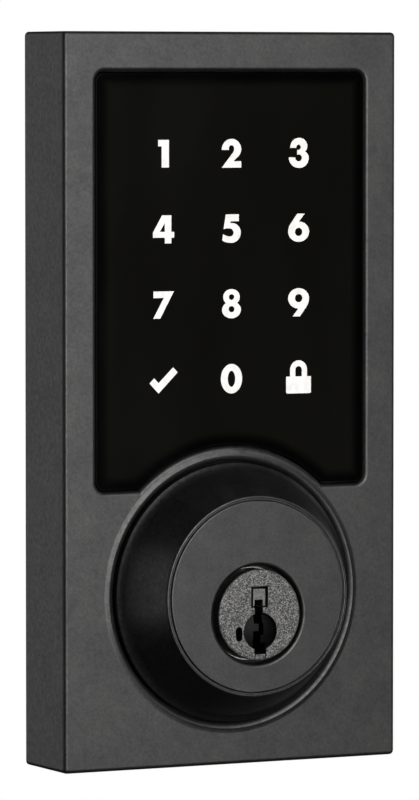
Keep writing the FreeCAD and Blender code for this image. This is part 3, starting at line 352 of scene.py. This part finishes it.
def milky_acrylic():
    """Clear plate frosted to spread light."""
    tree, shader, material = new_material("milky_acrylic")
    frost = noise(tree, 0.8 * MM, 3)
    colour = blend_colours(tree, spread(tree, frost, 0.0, 1.0), (0.78, 0.82, 0.84), (0.90, 0.92, 0.92))
    wire(tree, shader, Base_Color=colour, Roughness=spread(tree, frost, 0.2, 0.45), Transmission_Weight=0.6,
         Normal=bump(tree, frost, 0.006 * MM))
    return material


def circuit_board():
    """Green solder mask over copper tracks."""
    tree, shader, material = new_material("circuit_board")
    flat = node(tree, "Mapping", {"Vector": place(tree), "Rotation": (math.pi / 2, 0, 0)}).outputs["Vector"]
    layout = {"Vector": flat, "Scale": 220.0, "Mortar Size": 0.05, "Mortar Smooth": 0.2}
    tracks = node(tree, "TexBrick", layout)
    pads = spread(tree, cells(tree, 2.4 * MM).outputs["Distance"], 1.0, 0.0, 0.10, 0.13)
    mask = blend_colours(tree, tracks.outputs["Fac"], (0.008, 0.055, 0.022), (0.02, 0.11, 0.04))
    colour = blend_colours(tree, pads, mask, (0.55, 0.53, 0.48))
    relief = bump(tree, tracks.outputs["Fac"], 0.03 * MM)
    wire(tree, shader, Base_Color=colour, Metallic=pads, Normal=relief,
         Roughness=spread(tree, noise(tree, 3 * MM), 0.25, 0.4))
    return material


def lamp_cap():
    """Lamp in a yellow phosphor tone all over."""
    tree, shader, material = new_material("lamp_cap")
    grain = noise(tree, 0.12 * MM, 2)
    colour = blend_colours(tree, spread(tree, grain, 0.0, 1.0), (0.75, 0.62, 0.18), (0.88, 0.82, 0.45))
    wire(tree, shader, Base_Color=colour, Roughness=spread(tree, grain, 0.35, 0.5))
    return material


def chip_epoxy():
    """Black epoxy body on tinned legs, told apart by how far they stand from the board."""
    tree, shader, material = new_material("chip_epoxy")
    low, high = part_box("control_chip")
    height = node(tree, "SeparateXYZ", {"Vector": place(tree)}).outputs["Y"]
    body = spread(tree, height, 0.0, 1.0, low.y + 0.30 * MM, low.y + 0.40 * MM)
    fleck = noise(tree, 0.2 * MM, 3)
    epoxy = blend_colours(tree, spread(tree, fleck, 0.0, 1.0), (0.012, 0.012, 0.013), (0.03, 0.03, 0.031))
    colour = blend_colours(tree, body, (0.62, 0.62, 0.60), epoxy)
    wire(tree, shader, Base_Color=colour, Metallic=spread(tree, body, 1.0, 0.0, 0, 1),
         Roughness=spread(tree, body, 0.28, 0.62, 0, 1), Normal=bump(tree, fleck, 0.004 * MM))
    return material


def small_components():
    """Ceramic and ferrite bodies in a few browns, greys and blacks, one colour for each body."""
    tree, shader, material = new_material("small_components")
    pick = node(tree, "NewGeometry").outputs["Random Per Island"]
    first = spread(tree, pick, 0.0, 1.0, 0.3, 0.34)
    second = spread(tree, pick, 0.0, 1.0, 0.7, 0.74)
    bodies = blend_colours(tree, first, (0.33, 0.22, 0.12), (0.03, 0.03, 0.032))
    bodies = blend_colours(tree, second, bodies, (0.16, 0.15, 0.14))
    grain = noise(tree, 0.25 * MM, 3)
    shade = blend_colours(tree, spread(tree, grain, 0.0, 1.0), (0.85, 0.85, 0.85), (1.12, 1.12, 1.12))
    colour = times(tree, bodies, shade)
    wire(tree, shader, Base_Color=colour, Roughness=spread(tree, grain, 0.4, 0.6),
         Normal=bump(tree, grain, 0.01 * MM))
    return material


def bonding_tape():
    """Black foam tape."""
    tree, shader, material = new_material("bonding_tape")
    foam = cells(tree, 0.35 * MM).outputs["Distance"]
    cell_walls = spread(tree, foam, 0.0, 1.0, 0.1, 0.5)
    colour = blend_colours(tree, cell_walls, (0.012, 0.012, 0.012), (0.04, 0.04, 0.04))
    wire(tree, shader, Base_Color=colour, Roughness=spread(tree, foam, 0.75, 0.92, 0.1, 0.5),
         Normal=bump(tree, foam, 0.05 * MM))
    return material


def slot_materials():
    """The record's material slots and the material that each one gets here."""
    return {
        "painted_zinc": textured_paint(
            "painted_zinc", (0.0385, 0.0388, 0.0393), (0.0455, 0.0453, 0.0450), 0.010 * MM, 0.44),
        "collar_satin": textured_paint(
            "collar_satin", (0.0375, 0.0376, 0.0382), (0.0440, 0.0438, 0.0436), 0.008 * MM, 0.38),
        "lens_black": lens_gloss(),
        "legend_white": legend_white(),
        "tape": bonding_tape(),
        "frame_plastic": moulded("frame_plastic", (0.018, 0.018, 0.020), (0.030, 0.030, 0.032)),
        "cover_plastic": moulded(
            "cover_plastic", (0.030, 0.030, 0.032), (0.050, 0.050, 0.052), 0.5, 0.5, 0.03),
        "ring_plastic": moulded(
            "ring_plastic", (0.040, 0.040, 0.043), (0.062, 0.062, 0.064), 0.5, 0.35, 0.02),
        "buzzer_black": moulded("buzzer_black", (0.012, 0.012, 0.013), (0.026, 0.026, 0.027), 0.42),
        "connector_white": moulded("connector_white", (0.60, 0.58, 0.50), (0.78, 0.76, 0.70), 0.45),
        "light_guide_clear": milky_acrylic(),
        "circuit_board": circuit_board(),
        "led_white": lamp_cap(),
        "chip_black": chip_epoxy(),
        "component_mix": small_components(),
        "seal_rubber": rubber(),
        "plug_cast": plug_casting(),
        "insert_dark": polished_dark(),
        "insert_plain": bare_metal(
            "insert_plain", (0.060, 0.060, 0.060), (0.170, 0.170, 0.165), 0.48, size=0.25, depth=0.03),
        "blackened_steel": blackened_steel(),
        "screw_steel": bare_metal("screw_steel", (0.46, 0.46, 0.47), (0.66, 0.65, 0.62), 0.32),
        "screw_black": bare_metal("screw_black", (0.030, 0.030, 0.032), (0.065, 0.064, 0.062), 0.45),
        "hardened_steel": bare_metal(
            "hardened_steel", (0.26, 0.26, 0.27), (0.38, 0.37, 0.36), 0.30, (1, 0.2, 1)),
        "cylinder_zinc": bare_metal(
            "cylinder_zinc", (0.36, 0.36, 0.38), (0.48, 0.48, 0.48), 0.45, size=0.9, depth=0.02),
        "plate_steel": bare_metal("plate_steel", (0.48, 0.48, 0.46), (0.66, 0.64, 0.56), 0.30, (0.06, 1, 1)),
        "tumbler_brass": tumbler_brass(),
        "spring_steel": bare_metal("spring_steel", (0.50, 0.50, 0.50), (0.70, 0.70, 0.70), 0.22),
        "tail_steel": bare_metal("tail_steel", (0.42, 0.42, 0.43), (0.62, 0.61, 0.58), 0.34, (1, 0.08, 1)),
    }


# ---- mesh tools ---------------------------------------------------------------------

def finished_mesh(name, vertices, faces, sharp_angle=32):
    """A smooth-shaded object with outward normals and sharp creases."""
    mesh = bpy.data.meshes.new(name)
    mesh.from_pydata(vertices, [], faces)
    work = bmesh.new()
    work.from_mesh(mesh)
    bmesh.ops.recalc_face_normals(work, faces=work.faces)
    work.to_mesh(mesh)
    work.free()
    mesh.polygons.foreach_set("use_smooth", [True] * len(mesh.polygons))
    mesh.set_sharp_from_angle(angle=math.radians(sharp_angle))
    piece = bpy.data.objects.new(name, mesh)
    bpy.context.scene.collection.objects.link(piece)
    return piece


def skin(name, rings, closed=False, **options):
    """A mesh over rings of points. If closed, the last ring joins the first. If not, both ends are capped."""
    count = len(rings[0])
    vertices = [point for ring in rings for point in ring]
    faces = []
    pairs = list(range(len(rings))) if closed else list(range(len(rings) - 1))
    for i in pairs:
        here = i * count
        there = (i + 1) % len(rings) * count
        for j in range(count):
            k = (j + 1) % count
            faces.append((here + j, here + k, there + k, there + j))
    if not closed:
        faces.append(tuple(range(count)))
        faces.append(tuple(range(len(vertices) - count, len(vertices))))
    return finished_mesh(name, vertices, faces, **options)


def arc_points(x, z, radius, start, end, steps):
    """Points on an arc, with angles in degrees from +X towards +Z."""
    angles = [math.radians(start + (end - start) * i / steps) for i in range(steps + 1)]
    return [(x + radius * math.cos(a), z + radius * math.sin(a)) for a in angles]


def rounded_rectangle(low, high, inset, corner, smallest, steps=10):
    """Outline of a rectangle with round corners, drawn in by inset, as X and Z pairs."""
    radius = max(corner - inset, smallest)
    x, bottom, top = high.x - inset - radius, low.z + inset + radius, high.z - inset - radius
    points = []
    for cx, cz, start in ((x, bottom, -90), (x, top, 0), (-x, top, 90), (-x, bottom, 180)):
        points += arc_points(cx, cz, radius, start, start + 90, steps)
    return points


# ---- pieces -------------------------------------------------------------------------

def lens_outline(inset):
    """The lens's outline, drawn in by inset: round corners, and a foot cut by the collar's arc."""
    side = LENS_HIGH.x - inset
    foot = LENS_LOW.z + inset
    top = LENS_HIGH.z - inset
    arc = LENS_ARC + inset
    corner = max(LENS_CORNER - inset, LENS_SMALLEST_CORNER)
    rise = math.degrees(math.asin((foot - COLLAR_Z) / arc))
    points = arc_points(side - corner, foot + corner, corner, -90, 0, 8)
    points += arc_points(side - corner, top - corner, corner, 0, 90, 8)
    points += arc_points(-side + corner, top - corner, corner, 90, 180, 8)
    points += arc_points(-side + corner, foot + corner, corner, 180, 270, 8)
    points += arc_points(0, COLLAR_Z, arc, 180 - rise, rise, 96)
    return points


def touch_lens():
    """Glossy lens with a bevelled rim, a flat face and a painted dark reflection along its rim."""
    front = LENS_LOW.y
    edge = front + LENS_EDGE_DROP
    profile = [
        (0.0, LENS_HIGH.y), (0.0, edge + LENS_EASE),
        (LENS_EASE, edge), (LENS_BEVEL - LENS_EASE, front + LENS_EASE),
    ]
    for i in range(LENS_PAINTED_REFLECTION_RINGS + 1):
        profile.append((LENS_BEVEL + (LENS_PAINTED_REFLECTION_END - LENS_BEVEL) * i / LENS_PAINTED_REFLECTION_RINGS, front))
    rings = [[(x, y, z) for x, z in lens_outline(inset)] for inset, y in profile]
    piece = skin("touch_lens_glass", rings)
    # Rim attribute for the painted dark reflection: 1 out at the edge, fading to 0 inward.
    painted_reflection = piece.data.attributes.new(LENS_PAINTED_REFLECTION, "FLOAT", "POINT")
    width = LENS_PAINTED_REFLECTION_END - LENS_PAINTED_REFLECTION_FULL
    for i, (inset, _) in enumerate(profile):
        amount = min(1.0, max(0.0, (LENS_PAINTED_REFLECTION_END - inset) / width))
        for j in range(len(rings[i])):
            painted_reflection.data[i * len(rings[i]) + j].value = amount
    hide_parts("touch_lens")
    return piece


def gasket_bead():
    """Rubber seal with a rounded lip that the door squashes."""
    back = GASKET_LOW.y
    lip = GASKET_HIGH.y
    half = GASKET_WIDTH / 2
    section = [(0.0, back), (0.0, back + GASKET_FOOT)]
    for degrees in range(0, 181, 15):
        angle = math.radians(degrees)
        section.append((half - half * math.cos(angle), lip - GASKET_BULGE + GASKET_BULGE * math.sin(angle)))
    section += [(GASKET_WIDTH, back + GASKET_FOOT), (GASKET_WIDTH, back)]
    rings = []
    for inset, y in section:
        outline = rounded_rectangle(GASKET_LOW, GASKET_HIGH, inset, GASKET_CORNER, GASKET_SMALLEST_CORNER)
        rings.append([(x, y, z) for x, z in outline])
    piece = skin("gasket_bead", rings, closed=True)
    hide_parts("perimeter_gasket")
    return piece


def grommet():
    """Rubber bush with soft round lips either side of the back plate."""
    z = (GROMMET_LOW.z + GROMMET_HIGH.z) / 2
    outer = (GROMMET_HIGH.z - GROMMET_LOW.z) / 2
    front, back = GROMMET_LOW.y, GROMMET_HIGH.y
    soft = GROMMET_LIP / 2
    middle = (GROMMET_BORE + outer) / 2
    reach = (outer - GROMMET_BORE) / 2
    section = []
    for turn, y in ((180, front + soft), (0, back - soft)):
        for a in range(0, 181, 20):
            angle = math.radians(turn + a)
            section.append((middle + reach * math.cos(angle), y + soft * math.sin(angle)))
        if turn == 180:
            section += [(GROMMET_WAIST, front + GROMMET_LIP), (GROMMET_WAIST, back - GROMMET_LIP)]
    rings = []
    for radius, y in section:
        ring = arc_points(0, z, radius, 0, 360, 64)[:-1]
        rings.append([(px, y, pz) for px, pz in ring])
    piece = skin("grommet_bush", rings, closed=True)
    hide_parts("cable_grommet")
    return piece


def dress_frame(looks):
    """Gives every CAD node the material of its slot."""
    for part in frame["record"]["subparts"]:
        cad = frame["nodes"][part["node"]]
        for held in cad.material_slots:
            held.material = looks[part["material_slot"]]


def dress_piece(piece, body, slot_name, looks):
    """Gives a piece made here its material, and ties it to the body that it moves with."""
    piece.data.materials.append(looks[slot_name])
    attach(piece, body)


# ---- stage --------------------------------------------------------------------------

def direction(azimuth, elevation):
    """Unit vector from the object towards a place round it. Azimuth 0 is in front."""
    a, e = math.radians(azimuth), math.radians(elevation)
    return Vector((math.sin(a) * math.cos(e), -math.cos(a) * math.cos(e), math.sin(e)))


def aimed(name, data, location, target):
    """An object that looks from location at target."""
    thing = bpy.data.objects.new(name, data)
    bpy.context.scene.collection.objects.link(thing)
    thing.location = location
    thing.rotation_euler = (target - location).to_track_quat("-Z", "Y").to_euler()
    return thing


def make_camera():
    """The camera that the main picture is taken with."""
    data = bpy.data.cameras.new("camera")
    data.lens = CAMERA_LENS
    data.sensor_width = CAMERA_SENSOR
    data.clip_start = 0.01
    data.clip_end = 50.0
    offset = direction(CAMERA_AZIMUTH, CAMERA_ELEVATION) * CAMERA_DISTANCE
    bpy.context.scene.camera = aimed("camera", data, CAMERA_TARGET + offset, CAMERA_TARGET)


def soft_light(name, azimuth, elevation, distance, width, height, brightness):
    """A rectangular studio light aimed at the lock, with angles in degrees and sizes in metres."""
    data = bpy.data.lights.new(name, "AREA")
    data.shape = "RECTANGLE"
    data.size = width
    data.size_y = height
    data.energy = brightness * math.pi * width * height
    light = aimed(name, data, CAMERA_TARGET + direction(azimuth, elevation) * distance, CAMERA_TARGET)
    light.visible_camera = False


def make_lights():
    """The key light shapes the face. The others lie round the sides, the back and the top."""
    soft_light("key_light", 3, 12, 0.75, 0.46, 0.70, 8.2)
    soft_light("right_light", 82, 22, 1.0, 0.30, 0.20, 1.5)
    soft_light("left_back_light", -112, 4, 1.2, 1.0, 1.2, 0.8)
    soft_light("side_light", -155, 6, 1.4, 0.60, 1.2, 0.98)
    soft_light("right_back_light", 130, 0, 1.4, 1.5, 1.2, 2.2)
    soft_light("top_light", 165, 66, 1.2, 0.7, 0.6, 1.0)


def make_world():
    """Dim grey round the object, and plain white where the camera sees past it."""
    world = bpy.data.worlds.new("studio")
    world.use_nodes = True
    tree = world.node_tree
    seen = node(tree, "LightPath").outputs["Is Camera Ray"]
    colour = blend_colours(tree, seen, DIM_GREY, WHITE)
    tree.links.new(colour, tree.nodes["Background"].inputs["Color"])
    bpy.context.scene.world = world


def make_floor():
    """Pale round floor below the lock."""
    mesh = bpy.data.meshes.new("floor")
    points = [(x, y, FLOOR_HEIGHT) for x, y in arc_points(0, 0, FLOOR_RADIUS, 0, 360, 96)[:-1]]
    mesh.from_pydata(points, [], [tuple(range(len(points)))])
    floor = bpy.data.objects.new("floor", mesh)
    bpy.context.scene.collection.objects.link(floor)
    tree, shader, material = new_material("pale_floor")
    cloud = spread(tree, noise(tree, 0.4, 2), 0.0, 1.0)
    tone = blend_colours(tree, cloud, (0.84, 0.84, 0.84), (0.87, 0.87, 0.87))
    wire(tree, shader, Base_Color=tone, Roughness=0.9, Emission_Color=WHITE, Emission_Strength=FLOOR_GLOW)
    floor.data.materials.append(material)
    floor.visible_diffuse = False
    floor.visible_glossy = False


# ---- assembly -----------------------------------------------------------------------

looks = slot_materials()
dress_frame(looks)
dress_piece(touch_lens(), "housing", "lens_black", looks)
dress_piece(gasket_bead(), "housing", "seal_rubber", looks)
dress_piece(grommet(), "housing", "seal_rubber", looks)
make_camera()
make_lights()
make_world()
make_floor()
bpy.context.scene.view_settings.view_transform = "Standard"
